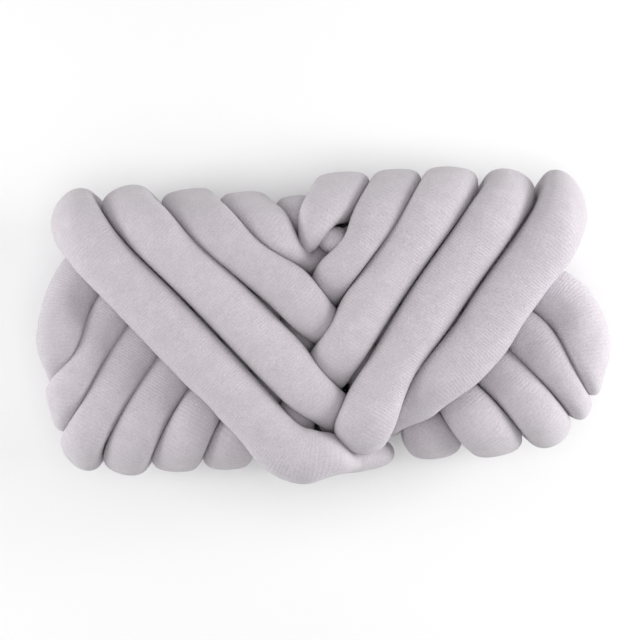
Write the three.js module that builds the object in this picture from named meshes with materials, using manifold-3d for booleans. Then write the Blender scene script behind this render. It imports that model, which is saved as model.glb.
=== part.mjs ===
// A lumbar throw pillow woven from fat stuffed velour tubes, lying on its back.
// Two families of tubes cross: one leans left (tops to the left), one leans right.
// Each tube goes once round the pillow: down the front, round the edge and up the back.
// Millimetres, +X along the pillow, +Y towards its top edge, +Z out of the woven face.
import * as THREE from "three";
import { mergeVertices } from "three/addons/utils/BufferGeometryUtils.js";
import Module from "manifold-3d";

const wasm = await Module();
wasm.setup();

// The whole pillow.
const LENGTH = 500;
const HEIGHT = 286;

// One stuffed tube.
const TUBE_DIAMETER = 50;
const COVER_WALL = 1.5;
const FILL_CLEARANCE = 0.6;
const SEAM_THICKNESS = 1.6;
const SEAM_CLEARANCE = 0.9;

// How the tubes lie on each other: two layers in front of the middle plane and two behind it.
const LAYER_SPACING = 34;
const CONTACT_GAP = 2.4;
const TRIM_GAP = 0.4;
const REST_FLAT = 4;

// The two families: lean of the tubes, where the first one lies, and the step to the next.
const LEFT_LEAN = { prefix: "left", count: 7, degrees: -49.5, first: -103, wide: 50, wideSteps: 2, narrow: 42 };
const RIGHT_LEAN = { prefix: "right", count: 9, degrees: 56.5, first: -128, wide: 50, wideSteps: 2, narrow: 39 };

// Facets of the plain solids.
const SIDES = 6;
const STATIONS = 18;
const ROUTE_SAMPLES = 240;
const PRESS_SAMPLES = 7;
const PRESS_SPAN = 0.65;

const RADIUS = TUBE_DIAMETER / 2;
const INNER_LEVEL = LAYER_SPACING / 2;
const OUTER_LEVEL = LAYER_SPACING * 1.5;
const EDGE_LEVEL = LAYER_SPACING;
const OUTER_TURN = OUTER_LEVEL * 0.9;
const EDGE_TURN = EDGE_LEVEL * 0.95;
const TURN_POINTS = 4;
const ROUTE_STEP = 12;
const HALF_X = LENGTH / 2 - RADIUS + 2;
const HALF_Y = HEIGHT / 2 - RADIUS + 1;
const TUCK = LAYER_SPACING;
const EDGE_SOFTNESS = 8;
const EDGE_RUN = 24;
const TOP_SPAN = 36;

// Where single tubes end in their own way. top and low are how far inside the outline a tube turns over,
// level and turn are how high and how tightly it turns at the low end, and run is how far it follows a side.
const ENDS = {
  left_1: { top: 17, low: -78, level: INNER_LEVEL, turn: 26 },
  left_2: { top: 5, level: INNER_LEVEL },
  left_3: { top: 4, level: INNER_LEVEL },
  left_4: { top: 4 },
  left_5: { top: 5, low: 10 },
  left_6: { run: 2 },
  left_7: { run: 50 },
  right_1: { top: 21, low: 13, level: 40, turn: 30 },
  right_2: { top: 7, low: 5, level: OUTER_LEVEL + 3, turn: 28 },
  right_7: { low: 12 },
  right_9: { run: 50 },
};
// The tubes' ends reach lower than the tops do, so the weave is moved up to centre its footprint.
const WEAVE_SHIFT = 4.6;
const PLAIN_END = { top: 0, low: 0, run: EDGE_RUN };

// How the tubes bend sideways: at their tops, and the first right-leaning one at its tip.
const LEFT_SPLAY = -9;
const MOST_SPLAYED = 4;
const RIGHT_SPLAY = -10;
const SPLAY_RUN = 130;
const TIP_SWAY = 24;
const SWAY_RUN = 110;
const FLOOR = -(OUTER_LEVEL + RADIUS) + REST_FLAT;
const FOLD_SPAN = 30;
const LEAST_REACH = 2.6;
const SEAM_RADIUS = INNER_LEVEL - 2;
const SEAM_SHARE = 0.35;
const EDGE_SEAM_SHARE = 0.5;

// The tube's own offset from the pillow's middle, across its lean.
function offsetOf(family, index) {
  const wides = Math.min(index, family.wideSteps);
  return family.first + wides * family.wide + (index - wides) * family.narrow;
}

// A left-leaning tube is numbered from the left, a right-leaning one from the right.
// Left lies over right until their numbers add up past the middle; then right lies over left.
const MIDDLE_SUM = 5;
const LAST_RIGHT = 5;
function leftIsOver(left, right) {
  return left + (LAST_RIGHT - right) < MIDDLE_SUM;
}

function smoothLimit(value, limit) {
  const size = Math.abs(value);
  const soft = -EDGE_SOFTNESS * Math.log(Math.exp(-size / EDGE_SOFTNESS) + Math.exp(-limit / EDGE_SOFTNESS));
  return Math.sign(value) * Math.max(soft, 0);
}

function makeStrand(family, index) {
  const lean = THREE.MathUtils.degToRad(family.degrees);
  const down = new THREE.Vector2(Math.cos(lean), Math.sin(lean));
  if (down.y > 0) down.negate();
  const across = new THREE.Vector2(-Math.sin(lean), Math.cos(lean));
  return { family, index, down, across, offset: offsetOf(family, index), name: family.prefix + "_" + (index + 1) };
}

const strands = [];
for (const family of [LEFT_LEAN, RIGHT_LEAN]) {
  for (let index = 0; index < family.count; index += 1) strands.push(makeStrand(family, index));
}

function placeOn(strand, run) {
  const point = strand.across.clone().multiplyScalar(strand.offset).addScaledVector(strand.down, run);
  return point;
}

// The run along a strand at which it reaches a height y, or a side x.
function runAtY(strand, y) {
  return (y - strand.across.y * strand.offset) / strand.down.y;
}
function runAtX(strand, x) {
  return (x - strand.across.x * strand.offset) / strand.down.x;
}

// Where two strands cross, as the run along the first.
function crossingRun(a, b) {
  const start = placeOn(a, 0);
  const other = placeOn(b, 0).sub(start);
  return other.cross(b.down) / a.down.cross(b.down);
}

function isOver(strand, other) {
  if (strand.family === LEFT_LEAN) return leftIsOver(strand.index, other.index);
  return !leftIsOver(other.index, strand.index);
}

// The front pass: its two ends and its level at each crossing.
function planStrand(strand) {
  const end = { ...PLAIN_END, ...ENDS[strand.name] };
  const side = Math.sign(strand.down.x) * (HALF_X + end.run);
  const top = Math.max(runAtY(strand, HALF_Y - end.top), runAtX(strand, -side));
  const bottom = Math.min(runAtY(strand, end.low - HALF_Y), runAtX(strand, side));
  const crossings = [];
  for (const other of strands) {
    if (other.family === strand.family) continue;
    const run = crossingRun(strand, other);
    if (run > top - TOP_SPAN && run < bottom) crossings.push({ run, over: isOver(strand, other) });
  }
  crossings.sort((a, b) => a.run - b.run);
  const topIsOver = crossings.length > 0 && crossings[0].over;
  const topLevel = topIsOver ? OUTER_LEVEL : INNER_LEVEL;
  const lastIsOver = crossings.length > 0 && crossings[crossings.length - 1].over;
  strand.bottomLevel = end.level ?? (lastIsOver ? OUTER_LEVEL : EDGE_LEVEL);
  strand.bottomTurn = end.turn ?? (lastIsOver ? OUTER_TURN : EDGE_TURN);
  strand.top = topIsOver ? top : Math.max(top, runAtY(strand, HALF_Y - TUCK));
  strand.topLevel = topLevel;
  strand.topTurn = topIsOver ? OUTER_TURN : EDGE_TURN;
  strand.bottom = bottom;
  strand.anchors = [{ run: strand.top + strand.topTurn, level: topLevel }];
  for (const crossing of crossings) {
    const inside = crossing.run > strand.top + strand.topTurn + RADIUS / 2;
    if (inside && crossing.run < strand.bottom - strand.bottomTurn - RADIUS / 2) {
      strand.anchors.push({ run: crossing.run, level: crossing.over ? OUTER_LEVEL : INNER_LEVEL });
    }
  }
  strand.anchors.push({ run: strand.bottom - strand.bottomTurn, level: strand.bottomLevel });
}

function levelAt(strand, run) {
  const anchors = strand.anchors;
  for (let i = 1; i < anchors.length; i += 1) {
    if (run <= anchors[i].run) {
      const share = (run - anchors[i - 1].run) / (anchors[i].run - anchors[i - 1].run);
      const eased = 0.5 - 0.5 * Math.cos(Math.PI * Math.max(share, 0));
      return anchors[i - 1].level + (anchors[i].level - anchors[i - 1].level) * eased;
    }
  }
  return anchors[anchors.length - 1].level;
}

// The sideways bend at a run along the front.
function bendAt(strand, run) {
  const fromTop = THREE.MathUtils.smoothstep(1 - (run - strand.top) / SPLAY_RUN, 0, 1);
  const fromTip = THREE.MathUtils.smoothstep(1 - (strand.bottom - run) / SWAY_RUN, 0, 1);
  if (strand.family === LEFT_LEAN) return LEFT_SPLAY * Math.min(strand.index, MOST_SPLAYED) * fromTop;
  return RIGHT_SPLAY * fromTop + (strand.index === 0 ? TIP_SWAY * fromTip : 0);
}

// The closed centre line: up the back from its middle, over the top, down the front and round the bottom.
function routeOf(strand) {
  const half = [];
  for (let i = 0; i < TURN_POINTS; i += 1) {
    const angle = (Math.PI / 2) * (i / TURN_POINTS);
    const run = strand.top + strand.topTurn * (1 - Math.cos(angle));
    half.push({ run, level: strand.topLevel * Math.sin(angle) });
  }
  const start = strand.top + strand.topTurn;
  const end = strand.bottom - strand.bottomTurn;
  const steps = Math.max(Math.round((end - start) / ROUTE_STEP), 2);
  for (let i = 0; i <= steps; i += 1) {
    const run = start + ((end - start) * i) / steps;
    half.push({ run, level: levelAt(strand, run) });
  }
  for (let i = TURN_POINTS - 1; i >= 0; i -= 1) {
    const angle = (Math.PI / 2) * (i / TURN_POINTS);
    const run = strand.bottom - strand.bottomTurn * (1 - Math.cos(angle));
    half.push({ run, level: strand.bottomLevel * Math.sin(angle) });
  }
  const back = half.slice(1, -1).reverse().map((p) => ({ run: p.run, level: -p.level }));
  const loop = half.concat(back);
  const points = loop.map((p) => {
    const place = placeOn(strand, p.run).addScaledVector(strand.across, bendAt(strand, p.run));
    return new THREE.Vector3(smoothLimit(place.x, HALF_X), smoothLimit(place.y, HALF_Y), p.level);
  });
  const seamShare = strand.index === strand.family.count - 1 ? EDGE_SEAM_SHARE : SEAM_SHARE;
  const shift = half.length + Math.floor(back.length * seamShare);
  const turned = points.slice(shift).concat(points.slice(0, shift));
  return new THREE.CatmullRomCurve3(turned, true);
}

// The part of a closed route between two shares of its length.
class Stretch extends THREE.Curve {
  constructor(route, from, to) {
    super();
    this.route = route;
    this.from = from;
    this.to = to;
  }

  getPoint(t, target = new THREE.Vector3()) {
    return target.copy(this.route.getPointAt(this.from + (this.to - this.from) * t));
  }
}

strands.forEach(planStrand);
for (const strand of strands) {
  strand.route = routeOf(strand);
  strand.length = strand.route.getLength();
  strand.samples = [];
  for (let i = 0; i < ROUTE_SAMPLES; i += 1) strand.samples.push(strand.route.getPointAt(i / ROUTE_SAMPLES));
}

// How far the cover reaches from its centre line in one direction: to its own round size, or
// half-way to the nearest tube that presses on it, or to the surface that the pillow lies on.
function reach(strand, share, direction) {
  const centre = strand.route.getPointAt(THREE.MathUtils.clamp(share, 0, 1));
  let limit = RADIUS;
  for (const other of strands) {
    for (let i = 0; i < ROUTE_SAMPLES; i += 1) {
      if (other === strand) {
        const apart = Math.abs(i / ROUTE_SAMPLES - share);
        if (Math.min(apart, 1 - apart) * strand.length < FOLD_SPAN) continue;
      }
      const away = other.samples[i].clone().sub(centre);
      const forward = away.dot(direction);
      const squared = away.lengthSq();
      if (forward > 0 && squared < 2 * RADIUS * forward) {
        limit = Math.min(limit, squared / (2 * forward) - CONTACT_GAP / 2);
      }
    }
  }
  if (direction.z < 0) limit = Math.min(limit, (FLOOR - centre.z) / direction.z);
  return Math.max(limit, LEAST_REACH);
}

function pressedReach(strand, share, direction) {
  const halfStep = PRESS_SPAN / STATIONS;
  let limit = RADIUS;
  for (let i = 0; i < PRESS_SAMPLES; i += 1) {
    const shift = halfStep * ((2 * i) / (PRESS_SAMPLES - 1) - 1);
    limit = Math.min(limit, reach(strand, share + shift, direction));
  }
  return limit;
}

function sectionShape(radius) {
  const points = [];
  for (let i = 0; i < SIDES; i += 1) {
    const angle = ((i + 0.5) / SIDES) * 2 * Math.PI;
    points.push(new THREE.Vector2(radius * Math.cos(angle), radius * Math.sin(angle)));
  }
  return points;
}

// A section swept round the route, then pressed: each corner moves in along its own direction.
// The inset is how far the surface lies inside the cover's outer face, and endShift moves both ends out.
function sweep(strand, inset, endShift) {
  const gap = (SEAM_THICKNESS / 2 + SEAM_CLEARANCE) / strand.length;
  const path = new Stretch(strand.route, gap, 1 - gap);
  const shape = new THREE.Shape(sectionShape(RADIUS));
  const geometry = new THREE.ExtrudeGeometry(shape, { steps: STATIONS, extrudePath: path, curveSegments: 1 });
  geometry.deleteAttribute("normal");
  geometry.deleteAttribute("uv");
  const stations = [];
  for (let k = 0; k <= STATIONS; k += 1) {
    stations.push({ centre: path.getPointAt(k / STATIONS), tangent: path.getTangentAt(k / STATIONS) });
  }
  const merged = mergeVertices(geometry, 1e-3);
  const position = merged.getAttribute("position");
  for (let v = 0; v < position.count; v += 1) {
    const corner = new THREE.Vector3().fromBufferAttribute(position, v);
    let best = { miss: Infinity };
    stations.forEach((station, k) => {
      const arm = corner.clone().sub(station.centre);
      const miss = Math.abs(arm.dot(station.tangent)) + Math.abs(arm.length() - RADIUS);
      if (miss < best.miss) best = { miss, k, arm };
    });
    const direction = best.arm.clone().normalize();
    const share = gap + ((1 - 2 * gap) * best.k) / STATIONS;
    const radius = pressedReach(strand, share, direction) - inset;
    const place = stations[best.k].centre.clone().addScaledVector(direction, radius);
    if (best.k === 0) place.addScaledVector(stations[0].tangent, -endShift);
    if (best.k === STATIONS) place.addScaledVector(stations[STATIONS].tangent, endShift);
    position.setXYZ(v, place.x, place.y, place.z);
  }
  return merged;
}

// A closed mesh as a solid that can be cut, and back.
function solidOf(geometry) {
  const vertProperties = new Float32Array(geometry.getAttribute("position").array);
  const triVerts = new Uint32Array(geometry.index.array);
  return new wasm.Manifold(new wasm.Mesh({ numProp: 3, vertProperties, triVerts }));
}

function geometryOf(solid) {
  const mesh = solid.getMesh();
  const geometry = new THREE.BufferGeometry();
  geometry.setAttribute("position", new THREE.BufferAttribute(mesh.vertProperties, 3));
  geometry.setIndex(new THREE.BufferAttribute(mesh.triVerts, 1));
  return geometry;
}

function addMesh(group, name, geometry, colour, roughness) {
  const material = new THREE.MeshStandardMaterial({ color: colour, roughness, metalness: 0 });
  const mesh = new THREE.Mesh(geometry, material);
  mesh.name = name;
  group.add(mesh);
}

// Where the two ends of a tube meet, they are gathered and sewn to a small round of the same cloth.
function endSeam(strand) {
  const half = SEAM_THICKNESS / 2 / strand.length;
  const path = new THREE.LineCurve3(strand.route.getPointAt(1 - half), strand.route.getPointAt(half));
  let radius = SEAM_RADIUS;
  for (const corner of sectionShape(1)) {
    const tangent = path.getTangentAt(0);
    const level = new THREE.Vector3(-tangent.y, tangent.x, 0).normalize();
    const direction = level.clone().multiplyScalar(corner.x).addScaledVector(level.clone().cross(tangent), corner.y);
    radius = Math.min(radius, pressedReach(strand, 0, direction) - FILL_CLEARANCE);
  }
  const shape = new THREE.Shape(sectionShape(radius));
  return new THREE.ExtrudeGeometry(shape, { steps: 1, extrudePath: path, curveSegments: 1 });
}

// The main body, without the slivers that a cut can leave beside it.
function largestBody(solid) {
  const bodies = solid.decompose();
  bodies.sort((a, b) => b.volume() - a.volume());
  return bodies[0];
}

// Where tubes change layers they press hardest, so each one also gives way to those before it.
function giveWay(strand, solid, inset) {
  for (const other of strands) {
    if (other === strand) break;
    solid = solid.subtract(solidOf(sweep(other, -(inset + TRIM_GAP), 0)));
  }
  return largestBody(solid);
}

const pillow = new THREE.Group();
for (const strand of strands) {
  const outside = giveWay(strand, solidOf(sweep(strand, 0, 0)), 0);
  const hollow = giveWay(strand, solidOf(sweep(strand, COVER_WALL, 1)), COVER_WALL);
  const cover = largestBody(outside.subtract(hollow));
  const inset = COVER_WALL + FILL_CLEARANCE;
  const fill = largestBody(giveWay(strand, solidOf(sweep(strand, inset, 0)), inset).subtract(cover));
  addMesh(pillow, strand.name + "_cover", geometryOf(cover), 0xc4bfc6, 0.95);
  addMesh(pillow, strand.name + "_fill", geometryOf(fill), 0xf3f2ee, 1);
  addMesh(pillow, strand.name + "_end_seam", endSeam(strand), 0xb4afb6, 0.95);
}
pillow.position.set(0, WEAVE_SHIFT, -FLOOR);

export default pillow;
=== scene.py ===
# %% [markdown]
# A lumbar throw pillow, woven from fat stuffed velour tubes.
# It lies on its back, with its woven face up. The frame holds its plain solids, and this lesson
# gives them their cloth: soft round tubes that press on each other, in short-pile velour.
# %% Load the frame
import math

import bmesh
import bpy
import numpy as np
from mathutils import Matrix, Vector, noise


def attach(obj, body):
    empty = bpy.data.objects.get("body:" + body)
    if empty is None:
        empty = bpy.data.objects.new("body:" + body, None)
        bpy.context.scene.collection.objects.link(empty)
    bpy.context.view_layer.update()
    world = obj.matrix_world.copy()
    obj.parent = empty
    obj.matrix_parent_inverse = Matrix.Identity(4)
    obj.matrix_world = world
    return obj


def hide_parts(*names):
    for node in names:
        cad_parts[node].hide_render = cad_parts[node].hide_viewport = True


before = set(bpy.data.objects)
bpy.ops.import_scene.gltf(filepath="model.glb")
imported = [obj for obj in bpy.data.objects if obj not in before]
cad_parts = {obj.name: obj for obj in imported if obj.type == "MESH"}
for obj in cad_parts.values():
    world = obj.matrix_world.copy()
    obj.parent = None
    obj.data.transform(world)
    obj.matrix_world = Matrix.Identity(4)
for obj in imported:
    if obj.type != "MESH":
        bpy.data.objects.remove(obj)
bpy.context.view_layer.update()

MM = 0.001

# %% [markdown]
# The weave has two families of tubes. One family leans left and one leans right, and each tube goes
# once round the pillow: down the front, round the edge and up the back. A tube's place follows from
# its lean and its step from the next tube, so a few sizes place all sixteen.
# %% The weave's sizes, in millimetres
LENGTH, HEIGHT = 500.0, 286.0
RADIUS = 25.0
LAYER = 34.0
INNER, EDGE, OUTER = LAYER * 0.5, LAYER, LAYER * 1.5
OUTER_TURN, EDGE_TURN = OUTER * 0.9, EDGE * 0.95
HALF_X, HALF_Y = LENGTH / 2 - RADIUS + 2, HEIGHT / 2 - RADIUS + 1
SOFTNESS = 8.0
EDGE_RUN = 24.0
TOP_SPAN = 36.0
REST_FLAT = 4.0
BASE = OUTER + RADIUS - REST_FLAT
WEAVE_SHIFT = 4.6
LEFT = dict(prefix="left", count=7, degrees=-49.5, first=-103.0, wide=50.0, narrow=42.0)
RIGHT = dict(prefix="right", count=9, degrees=56.5, first=-128.0, wide=50.0, narrow=39.0)
WIDE_STEPS = 2
# Where single tubes end in their own way. top and low are how far inside the outline a tube turns over,
# level and turn are how high and how tightly it turns at the low end, and run is how far it follows a side.
ENDS = {
    "left_1": dict(top=17.0, low=-78.0, level=INNER, turn=26.0),
    "left_2": dict(top=5.0, level=INNER),
    "left_3": dict(top=4.0, level=INNER),
    "left_4": dict(top=4.0),
    "left_5": dict(top=5.0, low=10.0),
    "left_6": dict(run=2.0),
    "left_7": dict(run=50.0),
    "right_1": dict(top=21.0, low=13.0, level=40.0, turn=30.0),
    "right_2": dict(top=7.0, low=5.0, level=OUTER + 3.0, turn=28.0),
    "right_7": dict(low=12.0),
    "right_9": dict(run=50.0),
}
TOP_SPLAY, RIGHT_SPLAY, SPLAY_RUN = -9.0, -10.0, 130.0
MOST_SPLAYS = 4
TIP_SWAY, SWAY_RUN = 24.0, 110.0


def ease(share):
    share = min(max(share, 0.0), 1.0)
    return share * share * (3 - 2 * share)


class Strand:
    """One tube: its family, its number, the way it runs down and its step across."""

    def __init__(self, family, index):
        self.family, self.index = family, index
        self.name = f"{family['prefix']}_{index + 1}"
        lean = math.radians(family["degrees"])
        self.down = np.array([math.cos(lean), math.sin(lean)])
        if self.down[1] > 0:
            self.down = -self.down
        self.across = np.array([-math.sin(lean), math.cos(lean)])
        wides = min(index, WIDE_STEPS)
        self.offset = family["first"] + wides * family["wide"] + (index - wides) * family["narrow"]

    def place(self, run):
        return self.across * self.offset + self.down * run

    def swayed(self, run):
        """The place with the splay of the left tubes' tops and the sway of the first right tube's tip."""
        shift = 0.0
        if self.family is LEFT:
            shift += TOP_SPLAY * min(self.index, MOST_SPLAYS) * ease(1 - (run - self.top) / SPLAY_RUN)
        else:
            shift += RIGHT_SPLAY * ease(1 - (run - self.top) / SPLAY_RUN)
        if self.name == "right_1":
            shift += TIP_SWAY * ease(1 - (self.bottom - run) / SWAY_RUN)
        return self.place(run) + self.across * shift

    def run_at(self, axis, value):
        return (value - self.across[axis] * self.offset) / self.down[axis]

    def crossing(self, other):
        gap = other.place(0) - self.place(0)
        turn = other.down
        return (gap[0] * turn[1] - gap[1] * turn[0]) / (self.down[0] * turn[1] - self.down[1] * turn[0])

    def is_over(self, other):
        left, right = (self, other) if self.family is LEFT else (other, self)
        left_over = left.index < right.index
        return left_over if self.family is LEFT else not left_over


strands = [Strand(family, i) for family in (LEFT, RIGHT) for i in range(family["count"])]
print(len(strands), "tubes")

# %% [markdown]
# At each crossing one tube lies over the other. The left-leaning tubes are numbered from the left and
# the right-leaning ones from the right. A left-leaning tube lies over each right-leaning one with a
# higher number than its own, and under the others.
# %% Plan each tube's front pass and its levels
def plan(strand):
    end = ENDS.get(strand.name, {})
    side = math.copysign(HALF_X + end.get("run", EDGE_RUN), strand.down[0])
    top = max(strand.run_at(1, HALF_Y - end.get("top", 0.0)), strand.run_at(0, -side))
    bottom = min(strand.run_at(1, end.get("low", 0.0) - HALF_Y), strand.run_at(0, side))
    crossings = []
    for other in strands:
        if other.family is not strand.family:
            run = strand.crossing(other)
            if top - TOP_SPAN < run < bottom:
                crossings.append((run, strand.is_over(other)))
    crossings.sort()
    top_over = bool(crossings) and crossings[0][1]
    low_over = bool(crossings) and crossings[-1][1]
    strand.top_level, strand.top_turn = (OUTER, OUTER_TURN) if top_over else (INNER, EDGE_TURN)
    strand.low_level, strand.low_turn = (OUTER, OUTER_TURN) if low_over else (EDGE, EDGE_TURN)
    strand.low_level = end.get("level", strand.low_level)
    strand.low_turn = end.get("turn", strand.low_turn)
    strand.top = top if top_over else max(top, strand.run_at(1, HALF_Y - LAYER))
    strand.bottom = bottom
    first, final = strand.top + strand.top_turn, strand.bottom - strand.low_turn
    anchors = [(first, strand.top_level)]
    for run, over in crossings:
        if first + RADIUS / 2 < run < final - RADIUS / 2:
            anchors.append((run, OUTER if over else INNER))
    strand.anchors = anchors + [(final, strand.low_level)]


def level_at(strand, run):
    """The level at a run along the front, eased from each crossing to the next."""
    for (run_a, level_a), (run_b, level_b) in zip(strand.anchors, strand.anchors[1:]):
        if run <= run_b:
            share = max((run - run_a) / (run_b - run_a), 0.0)
            return level_a + (level_b - level_a) * (0.5 - 0.5 * math.cos(math.pi * share))
    return strand.anchors[-1][1]


for strand in strands:
    plan(strand)

# %% [markdown]
# The centre line is a closed loop in the tube's own upright plane, with a quarter turn at each edge.
# Near the pillow's sides it bends to follow the outline, as a tube does when its neighbours hold it in.
# %% Lay out each centre line with even steps
STEP = 5.0
TURN_POINTS = 6
ROUTE_STEP = 8.0


def soft_limit(value, limit):
    size = np.abs(value)
    soft = -SOFTNESS * np.log(np.exp(-size / SOFTNESS) + math.exp(-limit / SOFTNESS))
    return np.sign(value) * np.maximum(soft, 0.0)


def even_loop(points, step):
    """Smooths a closed line and steps along it evenly."""
    for _ in range(3):
        points = 0.25 * np.roll(points, 1, 0) + 0.5 * points + 0.25 * np.roll(points, -1, 0)
    closed = np.vstack([points, points[:1]])
    lengths = np.concatenate([[0.0], np.cumsum(np.linalg.norm(np.diff(closed, axis=0), axis=1))])
    count = int(round(lengths[-1] / step))
    marks = np.linspace(0.0, lengths[-1], count, endpoint=False)
    return np.column_stack([np.interp(marks, lengths, closed[:, i]) for i in range(3)]), lengths[-1]


def lay_route(strand):
    half = []
    for i in range(TURN_POINTS):
        angle = math.pi / 2 * i / TURN_POINTS
        run = strand.top + strand.top_turn * (1 - math.cos(angle))
        half.append((run, strand.top_level * math.sin(angle)))
    start, end = strand.top + strand.top_turn, strand.bottom - strand.low_turn
    for run in np.linspace(start, end, max(int((end - start) / ROUTE_STEP), 2) + 1):
        half.append((run, level_at(strand, run)))
    for i in reversed(range(TURN_POINTS)):
        angle = math.pi / 2 * i / TURN_POINTS
        run = strand.bottom - strand.low_turn * (1 - math.cos(angle))
        half.append((run, strand.low_level * math.sin(angle)))
    loop = half + [(run, -level) for run, level in reversed(half[1:-1])]
    flat = np.array([strand.swayed(run) for run, _ in loop])
    points = np.column_stack([
        soft_limit(flat[:, 0], HALF_X), soft_limit(flat[:, 1], HALF_Y), [level for _, level in loop]])
    strand.centres, strand.length = even_loop(points, STEP)


for strand in strands:
    lay_route(strand)
print("tube lengths in mm", [round(strand.length) for strand in strands])

# %% [markdown]
# A stuffed tube is round where it is free, and flat where it meets a neighbour: each one gives way
# until the two press equally, half-way between their centre lines. So the reach of the cloth from the
# centre line is found in every direction, and the corners are rounded as a soft filling rounds them.
# %% Press the tubes on each other
AROUND = 28
ROUNDING = 9.0
SMOOTHINGS = 4
WIDE, THICK = 30.0, 24.0
EDGE_WIDE, EDGE_THICK = 46.0, 21.5
CORNER_LOSS = 21.0
FULL = 46.0
FOLD_SPAN = 30.0
LEAST = 5.0
OUTLINE_POWER, EDGE_GAIN = 5, 1.3


def tangents_along(centres):
    """The direction of a closed line at each of its steps."""
    tangents = np.roll(centres, -1, 0) - np.roll(centres, 1, 0)
    tangents /= np.linalg.norm(tangents, axis=1)[:, None]
    return tangents


def free_reach(centre, tangent, rays):
    """How far the cloth reaches where nothing touches it: flat on the face, and wide along the outline."""
    edge = ease(abs(tangent[2]) * EDGE_GAIN)
    out = np.array([centre[0] / HALF_X, centre[1] / HALF_Y]) ** OUTLINE_POWER
    out /= np.linalg.norm(out) + 1e-9
    along_outline = (rays[:, 1] * out[0] - rays[:, 0] * out[1]) ** 2
    face = ((1 - rays[:, 2] ** 2) / WIDE ** 2 + rays[:, 2] ** 2 / THICK ** 2) ** -0.5
    wide = EDGE_WIDE - CORNER_LOSS * 2 * abs(out[0] * out[1])
    turned = (along_outline / wide ** 2 + (1 - along_outline) / EDGE_THICK ** 2) ** -0.5
    return face * (1 - edge) + turned * edge


def press(strand):
    centres = strand.centres
    tangents = tangents_along(centres)
    side = np.array([strand.across[0], strand.across[1], 0.0])
    side = side - tangents * (tangents @ side)[:, None]
    side /= np.linalg.norm(side, axis=1)[:, None]
    lift = np.cross(tangents, side)
    angles = np.linspace(0.0, 2 * math.pi, AROUND, endpoint=False)
    rays = side[:, None, :] * np.cos(angles)[None, :, None] + lift[:, None, :] * np.sin(angles)[None, :, None]
    count = len(centres)
    reach = np.empty((count, AROUND))
    for k in range(count):
        total = free_reach(centres[k], tangents[k], rays[k]) ** -ROUNDING
        for other in strands:
            away = other.centres - centres[k]
            near = (away ** 2).sum(1) < (2 * FULL) ** 2
            if other is strand:
                apart = np.abs(np.arange(count) - k)
                near &= np.minimum(apart, count - apart) * STEP > FOLD_SPAN
            if not near.any():
                continue
            away = away[near]
            forward = away @ rays[k].T
            squared = (away ** 2).sum(1)[:, None]
            limit = np.where(forward > 0, squared / (2 * np.maximum(forward, 1e-6)), 1e3).min(0)
            total += np.maximum(limit, LEAST) ** -ROUNDING
        falls = np.minimum(rays[k, :, 2], -1e-3)
        down = np.where(rays[k, :, 2] < -1e-3, (-BASE - centres[k, 2]) / falls, 1e3)
        reach[k] = np.minimum(total ** (-1 / ROUNDING), np.maximum(down, LEAST))
    strand.rays, strand.reach = rays, reach


def smooth_reach(reach, passes):
    for _ in range(passes):
        reach = 0.5 * reach + 0.25 * (np.roll(reach, 1, 0) + np.roll(reach, -1, 0))
    return 0.6 * reach + 0.2 * (np.roll(reach, 1, 1) + np.roll(reach, -1, 1))


for strand in strands:
    press(strand)
    strand.reach = smooth_reach(strand.reach, SMOOTHINGS)
print("narrowest reach in mm", round(min(s.reach.min() for s in strands), 1))

# %% [markdown]
# The cover is cut as a flat strip of velour and sewn into a tube. It is made the same way here: a
# flat grid with its own UV map is rolled round the centre line, and its two pairs of edges are merged.
# The UV map keeps the cloth's own directions, so the fine ribs can run across the tube.
# %% Roll each strip into a tube
SLACK, WAVE = 1.0, 0.8
WAVE_SCALE, WAVE_TURN, WAVE_STEP = 0.012, 0.12, 7.3


def roll_strip(strand):
    count = len(strand.centres)
    bm = bmesh.new()
    bm.loops.layers.uv.new("cloth")
    bmesh.ops.create_grid(bm, x_segments=count, y_segments=AROUND, size=1.0, calc_uvs=True)
    for vert in bm.verts:
        k = int(round((vert.co.x + 1) / 2 * count)) % count
        a = int(round((vert.co.y + 1) / 2 * AROUND)) % AROUND
        start = Vector((strand.index * WAVE_STEP, a * WAVE_TURN, 0))
        wave = noise.noise(Vector(strand.centres[k] * WAVE_SCALE) + start)
        place = strand.centres[k] + strand.rays[k, a] * (strand.reach[k, a] - SLACK + WAVE * wave)
        vert.co = Vector((place[0], place[1] + WEAVE_SHIFT, place[2] + BASE)) * MM
    bmesh.ops.remove_doubles(bm, verts=bm.verts, dist=1e-7)
    bmesh.ops.recalc_face_normals(bm, faces=bm.faces)
    for face in bm.faces:
        face.smooth = True
    mesh = bpy.data.meshes.new(strand.name + "_tube")
    bm.to_mesh(mesh)
    bm.free()
    piece = bpy.data.objects.new(strand.name + "_tube", mesh)
    bpy.context.scene.collection.objects.link(piece)
    return piece


tubes = {strand.name: roll_strip(strand) for strand in strands}
print("faces on the first tube", len(tubes["left_1"].data.polygons))

# %% [markdown]
# The filling pushes the cloth out from inside. Each tube is a cloth under a little pressure, let go for
# a moment so that the cloth moves a little under it. The tubes don't touch in this simulation: how far
# a point may move is capped instead, because the neighbours hold it. The result is kept in the mesh.
# %% Fill the tubes by cloth simulation
PRESSURE, FRAMES, GROWTH, CAP = 3.0, 14, 0.03, 2.2
QUALITY, CLOTH_MASS, STRETCH_STIFFNESS, BEND_STIFFNESS = 4, 0.2, 12.0, 0.2


def coordinates(mesh):
    flat = np.empty(len(mesh.vertices) * 3)
    mesh.vertices.foreach_get("co", flat)
    return flat.reshape(-1, 3)


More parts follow.
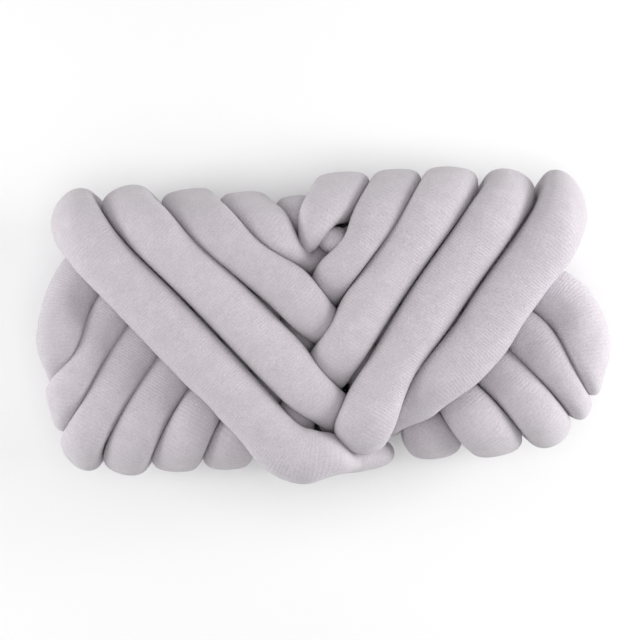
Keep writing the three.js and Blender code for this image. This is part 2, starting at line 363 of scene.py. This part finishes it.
def let_go(pieces):
    for piece in pieces:
        cloth = piece.modifiers.new("cloth", "CLOTH")
        cloth.settings.quality = QUALITY
        cloth.settings.mass = CLOTH_MASS
        cloth.settings.tension_stiffness = cloth.settings.compression_stiffness = STRETCH_STIFFNESS
        cloth.settings.bending_stiffness = BEND_STIFFNESS
        cloth.settings.use_pressure = True
        cloth.settings.uniform_pressure_force = PRESSURE
        cloth.settings.shrink_min = -GROWTH
        cloth.settings.effector_weights.gravity = 0.0
        cloth.collision_settings.use_collision = False
        cloth.point_cache.frame_end = FRAMES
    for number in range(1, FRAMES + 1):
        bpy.context.scene.frame_set(number)
    graph = bpy.context.evaluated_depsgraph_get()
    for piece in pieces:
        moved = coordinates(piece.evaluated_get(graph).data)
        start = coordinates(piece.data)
        step = moved - start
        size = np.linalg.norm(step, axis=1)[:, None]
        capped = start + step * np.minimum(1.0, CAP * MM / np.maximum(size, 1e-9))
        capped[:, 2] = np.maximum(capped[:, 2], 0.0)
        piece.modifiers.remove(piece.modifiers["cloth"])
        piece.data.vertices.foreach_set("co", capped.ravel())
        piece.data.update()
    bpy.context.scene.frame_set(1)
    print("last tube moved by up to", round(float(size.max()) / MM, 2), "mm before the cap")


let_go(list(tubes.values()))

# %% [markdown]
# Short-pile velour scatters light at its fibre tips, so it is matt in the middle and lighter where it
# turns away, which a little sheen gives. Its pile lies in small patches, which gives a mottled nap, and
# the knit under it shows as fine ribs across the tube. A small class lets the sums on sockets read as
# sums.
# %% Shader helpers
class Socket:
    """Wraps a socket, so that sums on values add their Math nodes."""

    def __init__(self, tree, socket):
        self.tree, self.socket = tree, socket

    def sum_with(self, operation, first, second):
        node = self.tree.nodes.new("ShaderNodeMath")
        node.operation = operation
        for slot, value in zip(node.inputs, (first, second)):
            if isinstance(value, Socket):
                self.tree.links.new(value.socket, slot)
            else:
                slot.default_value = value
        return Socket(self.tree, node.outputs[0])

    def __add__(self, other):
        return self.sum_with("ADD", self, other)

    __radd__ = __add__

    def __mul__(self, other):
        return self.sum_with("MULTIPLY", self, other)

    __rmul__ = __mul__

    def __sub__(self, other):
        return self.sum_with("SUBTRACT", self, other)

    def __rsub__(self, other):
        return self.sum_with("SUBTRACT", other, self)


class Finish:
    """A new material, with one method that adds any node."""

    def __init__(self, name):
        self.material = bpy.data.materials.new(name)
        self.material.use_nodes = True
        self.tree = self.material.node_tree
        self.shader = self.tree.nodes["Principled BSDF"]

    def node(self, kind, settings=None, inputs=None, output=0):
        node = self.tree.nodes.new(kind)
        for key, value in (settings or {}).items():
            setattr(node, key, value)
        for key, value in (inputs or {}).items():
            self.put(node.inputs[key], value)
        return Socket(self.tree, node.outputs[output])

    def put(self, slot, value):
        if isinstance(value, Socket):
            self.tree.links.new(value.socket, slot)
        else:
            slot.default_value = value


# %% [markdown]
# The nap is three noises on the object's own coordinates, from under a millimetre to over a
# centimetre. The ribs are a wave along the cloth's UV map, broken up so that they come and go.
# %% Velour
VELOUR = (0.60, 0.56, 0.60)
RIB_SPACING, RIB_DRIFT = 2.4, 5.0
NAP = dict(Scale=620.0, Detail=3.0, Roughness=0.65)
PATCH = dict(Scale=70.0, Detail=4.0, Roughness=0.6)
PILE = dict(Scale=1900.0, Detail=2.0, Roughness=0.6)
DARKEST, LIGHTEST, MOST = 0.78, 1.2, 0.95
MIX_DARK, MIX_LIGHT, MIX_RESULT = 6, 7, 2
OBJECT_COORDINATES = 3
BUMP_STRENGTH, BUMP_DISTANCE = 0.7, 0.0014
MIDDLE = 0.5
NAP_SHADE, PATCH_SHADE, PILE_SHADE, RIB_SHADE = 1.3, 0.6, 0.6, 0.10
NAP_HEIGHT, PILE_HEIGHT, RIB_HEIGHT = 0.6, 0.5, 0.4


def velour(length_mm, tone):
    finish = Finish("velour")
    place = finish.node("ShaderNodeTexCoord", output=OBJECT_COORDINATES)
    nap = finish.node("ShaderNodeTexNoise", inputs=dict(NAP, Vector=place))
    patch = finish.node("ShaderNodeTexNoise", inputs=dict(PATCH, Vector=place))
    pile = finish.node("ShaderNodeTexNoise", inputs=dict(PILE, Vector=place))
    cloth = finish.node("ShaderNodeUVMap", dict(uv_map="cloth"))
    along = finish.node("ShaderNodeSeparateXYZ", inputs=dict(Vector=cloth))
    turns = along * (length_mm / RIB_SPACING * 2 * math.pi) + patch * RIB_DRIFT
    ribs = finish.node("ShaderNodeMath", dict(operation="SINE"), dict(Value=turns)) * 0.5 + 0.5
    mottle = (nap - MIDDLE) * NAP_SHADE + (patch - MIDDLE) * PATCH_SHADE + (pile - MIDDLE) * PILE_SHADE
    mottle = mottle + (ribs - MIDDLE) * RIB_SHADE + MIDDLE
    dark = tuple(c * tone * DARKEST for c in VELOUR) + (1.0,)
    light = tuple(min(c * tone * LIGHTEST, MOST) for c in VELOUR) + (1.0,)
    colour = finish.node("ShaderNodeMix", dict(data_type="RGBA"),
                         {"Factor": mottle, MIX_DARK: dark, MIX_LIGHT: light}, output=MIX_RESULT)
    finish.put(finish.shader.inputs["Base Color"], colour)
    height = nap * NAP_HEIGHT + pile * PILE_HEIGHT + ribs * RIB_HEIGHT * patch
    bump = finish.node("ShaderNodeBump",
                       inputs=dict(Strength=BUMP_STRENGTH, Distance=BUMP_DISTANCE, Height=height))
    finish.put(finish.shader.inputs["Normal"], bump)
    finish.shader.inputs["Roughness"].default_value = 0.92
    finish.shader.inputs["Specular IOR Level"].default_value = 0.15
    finish.shader.inputs["Sheen Weight"].default_value = 0.35
    finish.shader.inputs["Sheen Roughness"].default_value = 0.55
    return finish.material


for number, strand in enumerate(strands):
    tone = 1.0 + 0.03 * math.sin(number * 2.4)
    material = velour(strand.length, tone)
    material.name = "velour_" + strand.name
    tubes[strand.name].data.materials.append(material)
print(len(bpy.data.materials), "materials")

# %% [markdown]
# Each finished tube stands for its cover, its filling and the sewn round where its ends meet, and it
# gets one subdivision for a smooth surface.
# %% Hand the tubes to the frame
for strand in strands:
    piece = tubes[strand.name]
    smooth = piece.modifiers.new("smooth", "SUBSURF")
    smooth.levels = smooth.render_levels = 1
    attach(piece, "root")
    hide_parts(strand.name + "_cover", strand.name + "_fill", strand.name + "_end_seam")

# %% [markdown]
# The pillow lies on a plain pale floor, in soft light from large panels on both sides and a weaker
# one overhead. The camera looks straight down, turned a little, so the pillow lies slightly aslant.
# %% Floor
def pale_floor():
    bm = bmesh.new()
    bmesh.ops.create_grid(bm, x_segments=1, y_segments=1, size=6.0)
    mesh = bpy.data.meshes.new("floor")
    bm.to_mesh(mesh)
    bm.free()
    floor = bpy.data.objects.new("floor", mesh)
    bpy.context.scene.collection.objects.link(floor)
    finish = Finish("floor_paint")
    finish.shader.inputs["Base Color"].default_value = (0.93, 0.93, 0.93, 1.0)
    finish.shader.inputs["Roughness"].default_value = 0.9
    mesh.materials.append(finish.material)


pale_floor()

# %% Light
def panel(name, place, size, power):
    light = bpy.data.lights.new(name, "AREA")
    light.shape, light.size, light.energy = "SQUARE", size, power
    lamp = bpy.data.objects.new(name, light)
    lamp.location = place
    aim = Vector((0, 0, 0.07)) - Vector(place)
    lamp.rotation_euler = aim.to_track_quat("-Z", "Y").to_euler()
    bpy.context.scene.collection.objects.link(lamp)


panel("left_panel", (-1.5, 0.1, 0.55), 0.8, 13.0)
panel("right_panel", (1.5, 0.1, 0.55), 0.8, 20.0)
panel("top_panel", (0.0, -0.2, 2.2), 1.2, 14.0)
world = bpy.data.worlds.new("studio")
world.use_nodes = True
world.node_tree.nodes["Background"].inputs["Color"].default_value = (1.0, 1.0, 1.0, 1.0)
world.node_tree.nodes["Background"].inputs["Strength"].default_value = 0.42
bpy.context.scene.world = world
bpy.context.scene.view_settings.view_transform = "Standard"

# %% Camera
FRAME_WIDTH = 0.583
FOCAL, SENSOR = 85.0, 36.0
WIDEST_LEVEL = 0.075
camera_data = bpy.data.cameras.new("camera")
camera_data.lens, camera_data.sensor_width = FOCAL, SENSOR
camera = bpy.data.objects.new("camera", camera_data)
camera.location = (-0.002, 0.0015, WIDEST_LEVEL + FRAME_WIDTH * FOCAL / SENSOR)
camera.rotation_euler = (0.0, 0.0, math.radians(-2.75))
bpy.context.scene.collection.objects.link(camera)
bpy.context.scene.camera = camera
